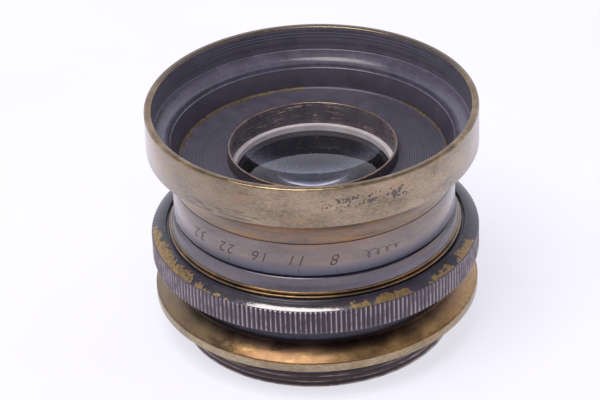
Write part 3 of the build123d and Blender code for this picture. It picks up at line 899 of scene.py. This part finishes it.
@dataclass
class Barrel:
    """Barrel tube, beaded collar, and the engraving round the tube."""

    radius: float = 24.8
    tube_bore: float = 21.4
    spigot: float = 23.35
    front_spigot: float = 22.55
    seam: float = 23.35  # height where the tube meets the collar
    face: float = 29.6  # height where it meets the hood
    collar_bottom: float = 19.25
    bead: float = 0.3
    groove: float = 23.9
    groove_depth: float = 0.5
    # the housing under the collar, from its outside down and back up the inside to the seat at 15.85
    bearing: tuple[Point, ...] = ((25.0, 13.9), (24.6, 13.9), (24.6, 10.1), (23.0, 10.1))
    inside: tuple[Point, ...] = ((21.2, 13.1), (22.6, 13.1), (22.6, 15.85), (23.4, 15.85))

    def build(self) -> None:
        """Makes the tube, the collar and the engraving."""
        self.build_tube()
        self.build_housing()
        Engraving(self.radius).build()

    def build_tube(self) -> None:
        """Turns the toned tube."""
        _, bottom, top = box_mm("barrel_tube")
        shown = softened([(self.spigot, self.seam), (self.radius, self.seam), (self.radius, self.face),
                          (self.front_spigot, self.face)], 0.12)
        hidden = [(self.spigot, bottom), (self.tube_bore, bottom), (self.tube_bore, top),
                  (self.front_spigot, top)]
        finish = TurnedBrass("toned_barrel_brass", ("#675C5A", "#786C69", "#8A7C75"), "#8C7160", 0.35, 6.0,
                             roughness=(0.24, 0.36), low_tone="#5A5A6C", low_range=(23.6, 26.2), drawn=2.4,
                             dust=0.9).build()
        piece = lathe("barrel_shell", [Span(shown[::-1] + hidden, 0)], [finish])
        place(piece, "lens_body", "toned_brass", "barrel_tube")

    def build_housing(self) -> None:
        """Turns the housing, whose collar carries two bright beads."""
        outer, bottom, top = box_mm("iris_housing")
        collar_top = top - self.groove_depth
        # the groove and the collar's top take the dark bearing lacquer: painted shade in the gap between tube
        # and collar, which also keeps a glint off the collar's top edge
        recess = [(self.groove, top), (self.groove, collar_top)]
        collar = [(self.radius - 0.1, collar_top), (self.radius, collar_top - 0.1), (self.radius, 21.4),
                  (25.05, 20.95), (25.25, 20.62)]
        bearing = [(self.bearing[0][0], self.collar_bottom), *self.bearing, (self.bearing[-1][0], bottom),
                   (self.inside[0][0], bottom), *self.inside, (self.inside[-1][0], top)]
        finishes = [
            TurnedBrass("toned_collar_brass", ("#524C50", "#605A61", "#6F686D"), "#6E5E54", 0.25, 5.0,
                        roughness=(0.24, 0.36), drawn=2.4, dust=0.12).build(),
            TurnedBrass("bright_bead_brass", ("#463A30", "#665236", "#86693D"), "#7E5C32", 0.4, 2.0,
                        roughness=(0.16, 0.26)).build(),
            WornLacquer("bearing_lacquer_and_groove_shade", way=Way.UP).build(),
        ]
        spans = [Span(recess, 2), Span(collar, 0), Span(self.bead_points(outer), 1), Span(bearing, 2)]
        place(lathe("iris_housing_shell", spans, finishes), "lens_body", "toned_brass", "iris_housing")

    def bead_points(self, outer: float) -> list[Point]:
        """Outline of two small beads on the collar's flare, from the top down.

        Args:
            outer: Radius of the lower and wider bead.

        Returns:
            The outline's points.
        """
        out: list[Point] = []
        for rise, crest in ((0.9, outer - 0.38), (0.3, outer)):
            for step in range(9):
                turn = math.radians(80 - 20 * step)
                out.append((crest - self.bead + self.bead * math.cos(turn),
                            self.collar_bottom + rise + self.bead * 0.97 * math.sin(turn)))
        return out


@dataclass
class Engraving:
    """Aperture scale engraved round the barrel: slanted numbers, ticks and a plain scroll."""

    radius: float
    numbers: tuple[str, ...] = ("32", "22", "16", "11", "8")
    first_angle: float = -52.0
    step_angle: float = 15.0
    height_mm: float = 3.0
    middle_z: float = 26.5
    proud_mm: float = 0.012
    scroll_start: float = 19.0
    scroll_mm: float = 7.0
    waves: int = 4
    tick_heights: Point = (23.75, 24.65)
    tick_half: float = 0.05

    def build(self) -> None:
        """Makes the numbers, the scroll and the ticks."""
        finish = EngravedFill().build()
        self.build_numbers(finish)
        self.build_scroll(finish)
        self.build_ticks(finish)

    def middle(self, index: int) -> float:
        """Distance round the barrel to the middle of a number, from the front."""
        return math.radians(self.first_angle + self.step_angle * index) * self.radius

    def cut(self, name: str, vertices: list[tuple[float, ...]], faces: list[tuple[int, ...]],
            finish: Material) -> None:
        """Rolls a flat outline in millimetres, drawn in X and Y, on to the barrel.

        Args:
            name: Name of the piece.
            vertices: Its points while flat.
            faces: Point numbers of each face.
            finish: What fills the cut.
        """
        piece = new_piece(name, vertices, faces, [finish])
        for vertex in piece.data.vertices:
            angle = vertex.co.x / self.radius
            reach = (self.radius + self.proud_mm + vertex.co.z) * MM
            vertex.co = Vector((reach * math.sin(angle), -reach * math.cos(angle), vertex.co.y * MM))
        piece.data.update()
        place(piece, "lens_body", "toned_brass")

    def build_numbers(self, finish: Material) -> None:
        """Cuts the numbers, which read from the rear, so they stand on their heads here.

        Args:
            finish: What fills the cut.
        """
        vertices, faces = [], []
        for index, number in enumerate(self.numbers):
            text = bpy.data.curves.new("number", "FONT")
            text.body = number
            text.size = self.height_mm
            text.shear = 0.35
            text.offset = -0.035
            text.space_character = 1.15
            text.align_x = "CENTER"
            text.align_y = "CENTER"
            shape = bpy.data.objects.new("number", text)
            flat = bpy.data.meshes.new_from_object(shape)
            middle, base = self.middle(index), len(vertices)
            vertices += [(middle - v.co.x, self.middle_z - v.co.y, 0.0) for v in flat.vertices]
            faces += [tuple(base + i for i in p.vertices) for p in flat.polygons]
            bpy.data.objects.remove(shape)
            bpy.data.curves.remove(text)
        self.cut("engraved_numbers", vertices, faces, finish)

    def scroll_point(self, share: float) -> Vector:
        """Middle of the scroll's line at a share of its length.

        Args:
            share: Share of the scroll's length, from zero to one.

        Returns:
            The point on the flat drawing, in millimetres.
        """
        turn = share * self.waves * 2 * math.pi
        start = math.radians(self.scroll_start) * self.radius
        return Vector((start + self.scroll_mm * share + 0.55 * math.sin(turn),
                       self.middle_z + 0.8 * (1 - 0.6 * share) * math.cos(turn)))

    def build_scroll(self, finish: Material) -> None:
        """Cuts a plain wavy scroll with swelling lines after the numbers.

        Args:
            finish: What fills the cut.
        """
        vertices = []
        steps = 150
        for step in range(steps + 1):
            share = step / steps
            here, ahead = self.scroll_point(share), self.scroll_point(share + 1e-3)
            side = (ahead - here).normalized().orthogonal()
            thick = 0.03 + 0.05 * abs(math.sin(share * self.waves * math.pi))
            vertices += [(*(here - side * thick), 0.0), (*(here + side * thick), 0.0)]
        faces = [(a, a + 1, a + 3, a + 2) for a in range(0, 2 * steps, 2)]
        self.cut("engraved_scroll", vertices, faces, finish)

    def build_ticks(self, finish: Material) -> None:
        """Cuts a short index tick under each number.

        Args:
            finish: What fills the cut.
        """
        vertices = []
        low, high = self.tick_heights
        for index in range(len(self.numbers)):
            left, right = self.middle(index) - self.tick_half, self.middle(index) + self.tick_half
            vertices += [(left, low, 0), (right, low, 0), (right, high, 0), (left, high, 0)]
        faces = [(a, a + 1, a + 2, a + 3) for a in range(0, len(vertices), 4)]
        self.cut("engraved_ticks", vertices, faces, finish)


@dataclass
class Rear:
    """Rear barrel with the camera flange and a real helical thread, and the rear cell."""

    thread_radius: float = 24.15
    thread_length: float = 6.3
    pitch: float = 25.4 / 24
    depth: float = 0.6
    relief: float = 0.5
    flange_thickness: float = 1.65
    cove_radius: float = 25.4
    hollow: float = -0.2  # zero is a plain cone, one a full quarter hollow, and below zero it bulges
    cove_steps: int = 18
    thread_rows: int = 80
    socket: float = 23.05
    bore: tuple[Point, ...] = ((21.0, 0.0), (21.0, 6.5), (19.8, 6.5), (19.8, 7.0), (23.05, 7.0))

    def build(self) -> None:
        """Makes the rear barrel and dresses the pieces behind it."""
        flange, _, top = box_mm("rear_barrel")
        seat = self.thread_length
        front = seat + self.flange_thickness
        start, rows = seat - self.relief, self.thread_rows
        thread = [(self.thread_radius, start * (1 - i / rows)) for i in range(rows + 1)]
        cove = [(self.socket, top), (self.cove_radius - 0.1, top), (self.cove_radius, top - 0.08)]
        cove += self.shoulder(cove[-1], (flange - 0.22, front + 0.08))
        cove.append((flange - 0.06, front + 0.02))
        edge = [(flange, front - 0.12), (flange, seat + 0.12), (flange - 0.12, seat)]
        under = [(self.thread_radius - self.depth, seat), (self.thread_radius - self.depth, start + 0.02)]
        finishes = [
            # the low tone turns the upper cove, under the knurled ring, grey-brown: painted shade under the
            # ring; the wide stretches darken the flange's left and lighten its right to gold: painted light
            # and shade on each side
            TurnedBrass("polished_flange_brass", ("#5E472D", "#8C6F46", "#B6925A"), "#6B4A2E", 0.5, 2.6,
                        roughness=(0.24, 0.5), lacquer=0.4, low_tone="#7C6658", low_range=(9.9, 8.7),
                        way=Way.OUT, grain_share=0.45, dent_mm=0.02,
                        stretches=((-66.0, 26.0, "#6F6049", 0.8), (12.0, 5.0, "#59452F", 0.6),
                                   (52.0, 22.0, "#9A7747", 0.5))).build(),
            TurnedBrass("flange_edge_brass", ("#7C6C55", "#9A886B", "#B8A686"), "#8F7450", 0.3, 3.0,
                        roughness=(0.4, 0.52), grain_share=0.5, dust=0.1).build(),
            CrestToned("dark_thread_brass", self.thread_radius - self.depth, self.thread_radius,
                      ("#5A535A", "#6C6468", "#85797A", "#B5A69C")).build(),
            WornLacquer("rear_bore_lacquer", way=Way.UP).build(),
        ]
        spans = [Span(cove, 0), Span(edge, 1), Span(under, 2), Span(thread, 2),
                 Span(list(self.bore), 3)]
        piece = lathe("rear_barrel_shell", spans, finishes, self.helix)
        place(piece, "lens_body", "polished_brass", "rear_barrel")
        dress("rear_cell", WornLacquer("rear_cell_lacquer", ("#17151B", "#27242B")).build())
        dress("rear_retaining_ring", WornLacquer("rear_ring_lacquer", scratches=0.5).build())

    def shoulder(self, start: Point, end: Point) -> list[Point]:
        """Outline of the flange's shoulder without its start, between a cone and a hollow.

        Args:
            start: Where the shoulder starts.
            end: Where it ends.

        Returns:
            The outline's points after start.
        """
        out = []
        for step, hollowed in enumerate(arc(start, end, 1.0, self.cove_steps), 1):
            share = step / self.cove_steps
            cone = [a + (b - a) * share for a, b in zip(start, end)]
            out.append(tuple(h * self.hollow + c * (1 - self.hollow) for h, c in zip(hollowed, cone)))
        return out

    def helix(self, turns: np.ndarray, radius: float, height: float) -> np.ndarray:
        """Radius of the thread at every angle for one height, run out at both ends.

        Args:
            turns: Angles round the axis.
            radius: Radius of the outline's point.
            height: Height of the outline's point.

        Returns:
            The radius at each angle.
        """
        if abs(radius - self.thread_radius) > 1e-6:
            return np.full(len(turns), radius)
        phase = (height / self.pitch - turns / (2 * math.pi)) % 1.0
        groove = np.clip(1.15 - 2.3 * np.abs(phase - 0.5), 0.0, 1.0)
        start = self.thread_length - self.relief
        fade = min(1.0, height / 0.45, (start - height) / 0.2 + 0.35)
        return radius - self.depth * max(fade, 0.0) * groove


# --- Iris and its ring ------------------------------------------------------


@dataclass
class ControlRing:
    """Knurled ring that turns on the housing, and the retainer under it."""

    ridges: int = 210
    ridge_height: float = 0.34
    bore: float = 25.05
    crown_radius: float = 26.4
    crown_rise: float = 0.9
    crown_step: float = 0.5
    crown_bulge: float = 0.22
    crest_share: float = 0.2  # width of a ridge's crest as a share of its foot
    # stretches where hands have rubbed the lacquer through
    worn_spans: tuple[tuple[float, float, float], ...] = (
        (-72.0, 15.0, 0.46), (-49.0, 4.0, 0.32), (-37.0, 4.0, 0.22), (15.0, 2.0, 0.3), (27.0, 5.0, 0.36),
        (49.0, 5.0, 0.33), (66.0, 6.0, 0.35), (128.0, 14.0, 0.3), (-150.0, 9.0, 0.3))

    def crowned(self, inner: Point, outer: Point, steps: int = 8) -> list[Point]:
        """Outline of the lacquered face, which bulges slightly between its two edges.

        Args:
            inner: The face's inner edge.
            outer: Its outer edge.
            steps: How many stretches it is cut into.

        Returns:
            The outline's points.
        """
        out = []
        for step in range(steps + 1):
            share = step / steps
            rise = self.crown_bulge * 4 * share * (1 - share)
            radius, height = (a + (b - a) * share for a, b in zip(inner, outer))
            out.append((radius, height + rise))
        return out

    def build(self) -> None:
        """Makes the ring, its ridges and the retainer."""
        crest, bottom, top = box_mm("iris_control_ring")
        grip_top = top - self.crown_rise
        root = crest - self.ridge_height
        body = [(self.bore, bottom), (self.bore, top - self.crown_step),
                (self.crown_radius, top - self.crown_step), (self.crown_radius, top - 0.08)]
        slope = self.crown_rise / (crest - self.crown_radius)
        shoulder = crest - 0.22
        face = self.crowned((self.crown_radius + 0.08, top),
                            (shoulder, top - slope * (shoulder - self.crown_radius)))
        side = [(root, grip_top - 0.12), (root, bottom + 0.12), (root - 0.12, bottom)]
        finishes = [
            WornLacquer("ring_face_lacquer", ("#26232C", "#3A3742"), edge_mm=crest, reach_mm=2.3, wear=0.35,
                        bare=("#7A6444", "#9A825A"), worn_spans=self.worn_spans, line_mm=0.6,
                        line_depth_mm=0.004, roughness=(0.12, 0.24), polish=1.0, ripple_mm=0.03).build(),
            CrestToned("knurl_root", root, crest).build(),
            WornLacquer("ring_bore_lacquer", way=Way.UP).build(),
        ]
        spans = [Span(body, 2), Span(face, 0), Span(side, 1)]
        piece = lathe("control_ring_body", spans, finishes)
        place(piece, "iris_ring", "black_lacquer", "iris_control_ring")
        ridges = self.build_ridges(root, crest, bottom + 0.14, grip_top + 0.04)
        place(ridges, "iris_ring", "black_lacquer")
        dress("control_ring_retainer", WornLacquer("retainer_lacquer", ("#1E1B22", "#2C2931"),
                                                   way=Way.UP).build())

    def build_ridges(self, root: float, crest: float, low: float, high: float) -> Piece:
        """Grows the straight knurling by Geometry Nodes and makes it a plain mesh.

        Args:
            root: Radius at the foot of a ridge.
            crest: Radius at its crest.
            low: Height of its lower end.
            high: Height of its upper end.

        Returns:
            The knurling as one mesh.
        """
        tree = bpy.data.node_groups.new("straight_knurling", "GeometryNodeTree")
        sizes = {"Ridges": self.ridges, "Root": root * MM, "Depth": (crest - root) * MM,
                 "Width": 2 * math.pi * crest / self.ridges * 0.86 * MM, "Low": low * MM,
                 "Length": (high - low) * MM}
        inputs = {name: "NodeSocketFloat" for name in sizes}
        inputs.update(Ridges="NodeSocketInt", Finish="NodeSocketMaterial")
        sockets = {name: tree.interface.new_socket(name, in_out="INPUT", socket_type=kind)
                   for name, kind in inputs.items()}
        tree.interface.new_socket("Geometry", in_out="OUTPUT", socket_type="NodeSocketGeometry")
        given = add(tree, "NodeGroupInput").node.outputs
        size = add(tree, "ShaderNodeCombineXYZ", (given["Depth"], given["Width"], given["Length"]))
        block = add(tree, "GeometryNodeMeshCube", {"Size": size, "Vertices Y": 4, "Vertices Z": 3})
        corner = add(tree, "GeometryNodeInputPosition")
        x, y, z = add(tree, "ShaderNodeSeparateXYZ", (corner,)).node.outputs
        outer = add(tree, "ShaderNodeMath", (x, 0.0), operation="GREATER_THAN")
        # the crest is narrower than the foot, and the ends slope back
        pinch, slope = (add(tree, "ShaderNodeMath", (outer, less, 1.0), operation="MULTIPLY_ADD")
                        for less in (self.crest_share - 1, -0.1))
        sides = [add(tree, "ShaderNodeMath", pair, operation="MULTIPLY") for pair in ((y, pinch), (z, slope))]
        shaped = add(tree, "ShaderNodeCombineXYZ", (x, *sides))
        ridge = add(tree, "GeometryNodeSetPosition", {"Geometry": block, "Position": shaped})
        # a ridge's middle lies half its depth outside the root and half its length above the low end
        reach, rise = (add(tree, "ShaderNodeMath", (given[span], 0.5, given[base]), operation="MULTIPLY_ADD")
                       for span, base in (("Depth", "Root"), ("Length", "Low")))
        circle = add(tree, "GeometryNodeMeshCircle", {"Vertices": given["Ridges"], "Radius": reach})
        outward = add(tree, "FunctionNodeAlignRotationToVector", {"Vector": corner}, axis="X", pivot_axis="Z")
        rows = add(tree, "GeometryNodeInstanceOnPoints",
                   {"Points": circle, "Instance": ridge, "Rotation": outward})
        shift = add(tree, "ShaderNodeCombineXYZ", {2: rise})
        lifted = add(tree, "GeometryNodeTransform", {"Geometry": rows, "Translation": shift})
        real = add(tree, "GeometryNodeRealizeInstances", (lifted,))
        finished = add(tree, "GeometryNodeSetMaterial", {"Geometry": real, "Material": given["Finish"]})
        tree.links.new(finished, tree.nodes.new("NodeGroupOutput").inputs[0])
        holder = new_piece("knurl_holder", [(0, 0, 0)], [])
        modifier = holder.modifiers.new("knurling", "NODES")
        modifier.node_group = tree
        for name, value in sizes.items():
            modifier[sockets[name].identifier] = value
        modifier[sockets["Finish"].identifier] = CrestToned("knurl_ridges", root, crest).build()
        evaluated = holder.evaluated_get(bpy.context.evaluated_depsgraph_get())
        mesh = bpy.data.meshes.new_from_object(evaluated)
        bpy.data.objects.remove(holder)
        piece = bpy.data.objects.new("control_ring_knurling", mesh)
        bpy.context.collection.objects.link(piece)
        return piece


@dataclass
class Iris:
    """Finishes of the pieces inside the housing."""

    blades: int = 8

    def build(self) -> None:
        """Dresses the blades, their plates and the screws."""
        steel = BlackenedSteel().build()
        for index in range(self.blades):
            dress(f"iris_blade_{index + 1}", steel)
        plate = WornLacquer("iris_plate_lacquer", ("#2A2731", "#3D3A45"), scratches=0.4).build()
        for node in ("iris_base_plate", "iris_drive_ring"):
            dress(node, plate)
        for node in ("base_plate_screws", "iris_drive_screw"):
            dress(node, steel)


@dataclass
class Glass:
    """Two cemented doublets."""

    def build(self) -> None:
        """Dresses the four elements."""
        crown = OpticalGlass("crown_glass", 1.517).build()
        flint = OpticalGlass("flint_glass", 1.62, "#D3D3DC").build()
        for side in ("front", "rear"):
            dress(f"{side}_crown_element", crown)
            dress(f"{side}_flint_element", flint)


# --- Floor, light and camera ------------------------------------------------


@dataclass
class Studio:
    """Floor, bright surroundings, two soft panels and the camera."""

    lens_mm: float = 171.1
    back_mm: float = 428.5
    above_rim_mm: float = 243.8
    pitch: float = 31.59
    yaw: float = 0.34
    roll: float = -2.1

    def build(self) -> None:
        """Makes the floor, the lights and the camera."""
        self.build_floor()
        self.build_lights()
        self.build_camera()

    def build_floor(self) -> None:
        """Lays the floor under the lens."""
        half = 3.0
        corners = [(-half, -half, 0), (half, -half, 0), (half, half, 0), (-half, half, 0)]
        floor = new_piece("floor", corners, [(0, 1, 2, 3)], [LitAcrylic().build()])

    def build_lights(self) -> None:
        """Surrounds the lens with a bright low sweep, and hangs two soft panels above it."""
        self.build_sweep()
        self.panel("top_panel", (0.14, 0.10, 0.85), 0.8, 0.5, "#FFFFFF")
        self.panel("window_panel", (-0.19, -0.24, 0.80), 0.5, 6.2, "#FFFAF4")

    def build_sweep(self) -> None:
        """Makes the surroundings: bright low down and at the sides, dim overhead and at the front."""
        world = bpy.data.worlds.new("studio")
        bpy.context.scene.world = world
        world.use_nodes = True
        tree = world.node_tree
        way = add(tree, "ShaderNodeTexCoord", output="Generated")
        _, ahead, up = add(tree, "ShaderNodeSeparateXYZ", (way,)).node.outputs
        low = add(tree, "ShaderNodeMapRange", (up, 0.85, 0.4, 0.15, 1.0), **SMOOTH)
        behind = add(tree, "ShaderNodeMapRange", (ahead, -0.95, -0.4, 0.6, 1.0), **SMOOTH)
        strength = add(tree, "ShaderNodeMath", (low, behind), operation="MULTIPLY")
        strength = add(tree, "ShaderNodeMath", (strength, 1.35), operation="MULTIPLY")
        background = tree.nodes["Background"]
        background.inputs["Color"].default_value = linear("#F1F0FF")
        tree.links.new(strength, background.inputs["Strength"])

    def panel(self, name: str, spot: tuple[float, float, float], side: float, power: float,
              tint: str) -> None:
        """Hangs a square panel that faces the lens.

        Args:
            name: Name of the panel.
            spot: Where it hangs, in metres.
            side: Length of its side in metres.
            power: Its power in watts.
            tint: Hex colour of its light.
        """
        light = bpy.data.lights.new(name, "AREA")
        light.size = side
        light.energy = power
        light.color = linear(tint)[:3]
        lamp = bpy.data.objects.new(name, light)
        lamp.location = spot
        lamp.visible_transmission = False  # no sparkles from its mirror image inside the glass
        aim = Vector((0, 0, 0.02)) - Vector(spot)
        lamp.rotation_euler = aim.to_track_quat("-Z", "Y").to_euler()
        bpy.context.collection.objects.link(lamp)

    def build_camera(self) -> None:
        """Stands the camera in front of the lens and above it, with a slight roll."""
        data = bpy.data.cameras.new("camera")
        data.sensor_width = 36.0
        data.lens = self.lens_mm
        data.clip_start, data.clip_end = 0.01, 20.0
        camera = bpy.data.objects.new("camera", data)
        top = box_mm("hood")[2]
        camera.location = (0.0, -self.back_mm * MM, (top + self.above_rim_mm) * MM)
        camera.rotation_euler = Euler((math.radians(90 - self.pitch), 0.0, math.radians(self.yaw)))
        camera.rotation_euler.rotate_axis("Z", math.radians(self.roll))
        bpy.context.collection.objects.link(camera)
        bpy.context.scene.camera = camera
        bpy.context.scene.view_settings.view_transform = "Standard"


def main() -> None:
    """Builds every sub-assembly, then the studio."""
    logging.basicConfig(level=logging.INFO, format="%(name)s: %(message)s")
    for assembly in (Hood(), Barrel(), Rear(), ControlRing(), Iris(), Glass(), Studio()):
        LOG.info("building %s", type(assembly).__name__)
        assembly.build()


if __name__ == "__main__":
    main()
